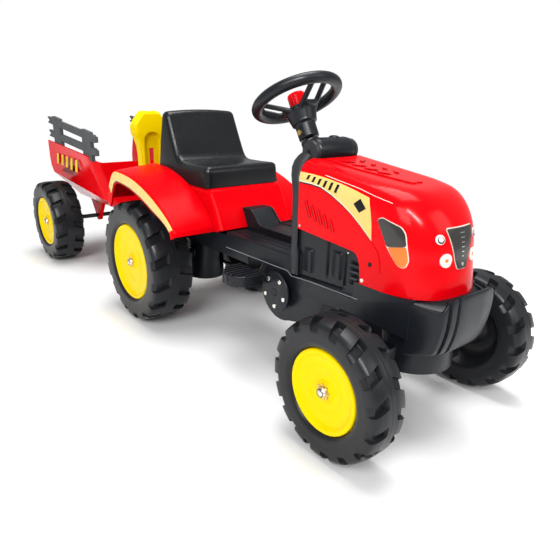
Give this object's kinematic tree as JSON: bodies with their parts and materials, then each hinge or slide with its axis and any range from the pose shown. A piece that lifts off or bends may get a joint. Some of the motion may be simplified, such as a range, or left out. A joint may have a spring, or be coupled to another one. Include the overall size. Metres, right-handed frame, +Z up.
{
  "type": "ride on tractor toy",
  "caption": "Child's pedal tractor in red and black plastic with yellow wheel hubs, steered front wheels, chain-driven rear axle and a hinged two-wheeled trailer.",
  "frame": {"origin": "on the floor under the middle of the whole vehicle", "axes": "+X towards the nose of the tractor, +Y to the rider's left, +Z up"},
  "size_m": [1.378, 0.41, 0.519],
  "materials": {
    "red_plastic": "high gloss",
    "black_plastic": "satin moulded",
    "yellow_plastic": "gloss",
    "tyre_plastic": "matt moulded",
    "seat_plastic": "fine grain",
    "grey_plastic": "matt moulded",
    "black_steel": "painted black",
    "zinc_steel": "zinc plated",
    "brass_screw": "plated",
    "dark_lens": "gloss",
    "orange_lens": "gloss",
    "white_lamp": "gloss",
    "silver_lamp": "gloss"
  },
  "bodies": {
    "chassis": {"lower_chassis": "black_plastic", "upper_chassis": "black_plastic", "rear_housing": "black_plastic", "front_bumper": "black_plastic", "front_axle_beam": "black_plastic", "kingpins": "zinc_steel", "axle_bushes": "black_plastic", "hood": "red_plastic", "dash_console": "black_plastic", "grille_panel": "dark_lens", "head_lamps": "white_lamp", "marker_lamps": "silver_lamp", "side_lenses": "dark_lens", "indicator_lenses": "orange_lens", "engine_panels": "black_plastic", "body_screws": "zinc_steel", "rear_body": "red_plastic", "seat": "seat_plastic", "hitch_pin": "zinc_steel", "drive_chain": "black_steel"},
    "steering": {"steering_wheel": "black_plastic", "steering_rod": "black_steel", "steering_screw": "brass_screw", "horn_spring": "zinc_steel"},
    "horn": {"horn_button": "red_plastic"},
    "left_knuckle": {"knuckle_left": "black_steel", "front_cap_left": "zinc_steel"},
    "right_knuckle": {"knuckle_right": "black_steel", "front_cap_right": "zinc_steel"},
    "steering_link": {"tie_rod": "black_steel"},
    "front_wheel_left": {"front_tyre_left": "tyre_plastic", "front_hub_left": "yellow_plastic"},
    "front_wheel_right": {"front_tyre_right": "tyre_plastic", "front_hub_right": "yellow_plastic"},
    "crank": {"crank_shaft": "black_steel", "drive_sprocket": "black_steel", "crank_discs": "black_plastic", "crank_rivets": "zinc_steel"},
    "left_pedal": {"pedal_left": "black_plastic"},
    "right_pedal": {"pedal_right": "black_plastic"},
    "rear_wheels": {"rear_axle": "black_steel", "rear_sprocket": "black_steel", "rear_caps": "zinc_steel", "rear_tyre_left": "tyre_plastic", "rear_tyre_right": "tyre_plastic", "rear_hub_left": "yellow_plastic", "rear_hub_right": "yellow_plastic"},
    "trailer": {"trailer_tub": "red_plastic", "trailer_drawbar": "black_plastic", "axle_brackets": "red_plastic", "trailer_axle": "black_steel", "trailer_fence_left": "grey_plastic", "trailer_fence_right": "grey_plastic", "trailer_caps": "zinc_steel"},
    "trailer_wheel_left": {"trailer_tyre_left": "tyre_plastic", "trailer_hub_left": "yellow_plastic"},
    "trailer_wheel_right": {"trailer_tyre_right": "tyre_plastic", "trailer_hub_right": "yellow_plastic"},
    "tool": {"shovel": "yellow_plastic"}
  },
  "joints": [
    {"name": "steer", "type": "hinge", "parent": "chassis", "child": "steering", "pos_m": [0.293, 0, 0.473], "axis": [-0.5, 0, 0.866], "range_deg": [-50, 50]},
    {"name": "horn_press", "type": "slide", "parent": "steering", "child": "horn", "axis": [0.5, 0, -0.866], "range_m": [0, 0.003], "stiffness_N_per_m": 300, "springref_m": -0.002, "deforming": ["horn_spring"]},
    {"name": "knuckle_left_turn", "type": "hinge", "parent": "chassis", "child": "left_knuckle", "pos_m": [0.586, 0.112, 0.103], "axis": [0, 0, 1], "range_deg": [-16.5, 16.5]},
    {"name": "knuckle_right_turn", "type": "hinge", "parent": "chassis", "child": "right_knuckle", "pos_m": [0.586, -0.112, 0.103], "axis": [0, 0, 1], "range_deg": [-16.5, 16.5]},
    {"name": "link_pivot", "type": "hinge", "parent": "right_knuckle", "child": "steering_link", "pos_m": [0.4688, -0.112, 0.0845], "axis": [0, 0, 1], "range_deg": [-16.5, 16.5]},
    {"name": "front_left_spin", "type": "hinge", "parent": "left_knuckle", "child": "front_wheel_left", "pos_m": [0.586, 0.168, 0.103], "axis": [0, 1, 0], "continuous": true},
    {"name": "front_right_spin", "type": "hinge", "parent": "right_knuckle", "child": "front_wheel_right", "pos_m": [0.586, -0.168, 0.103], "axis": [0, 1, 0], "continuous": true},
    {"name": "crank_spin", "type": "hinge", "parent": "chassis", "child": "crank", "pos_m": [0.356, 0, 0.155], "axis": [0, 1, 0], "continuous": true},
    {"name": "pedal_left_spin", "type": "hinge", "parent": "crank", "child": "left_pedal", "pos_m": [0.41975, 0.125, 0.13792], "axis": [0, 1, 0], "continuous": true},
    {"name": "pedal_right_spin", "type": "hinge", "parent": "crank", "child": "right_pedal", "pos_m": [0.29225, -0.125, 0.17208], "axis": [0, 1, 0], "continuous": true},
    {"name": "rear_spin", "type": "hinge", "parent": "chassis", "child": "rear_wheels", "pos_m": [-0.02, 0, 0.13], "axis": [0, 1, 0], "continuous": true},
    {"name": "trailer_yaw", "type": "hinge", "parent": "chassis", "child": "trailer", "pos_m": [-0.17, 0, 0.13], "axis": [0, 0, 1], "range_deg": [-40, 40]},
    {"name": "trailer_left_spin", "type": "hinge", "parent": "trailer", "child": "trailer_wheel_left", "pos_m": [-0.576, 0.165, 0.113], "axis": [0, 1, 0], "continuous": true},
    {"name": "trailer_right_spin", "type": "hinge", "parent": "trailer", "child": "trailer_wheel_right", "pos_m": [-0.576, -0.165, 0.113], "axis": [0, 1, 0], "continuous": true},
    {"name": "shovel_lift", "type": "slide", "parent": "chassis", "child": "tool", "axis": [0, 0, 1], "range_m": [0, 0.2]}
  ],
  "couplings": [
    {"joint": "knuckle_left_turn", "follows": "steer", "ratio": 0.31868},
    {"joint": "knuckle_right_turn", "follows": "steer", "ratio": 0.31868},
    {"joint": "link_pivot", "follows": "steer", "ratio": -0.31868},
    {"joint": "rear_spin", "follows": "crank_spin", "ratio": 1.8}
  ]
}
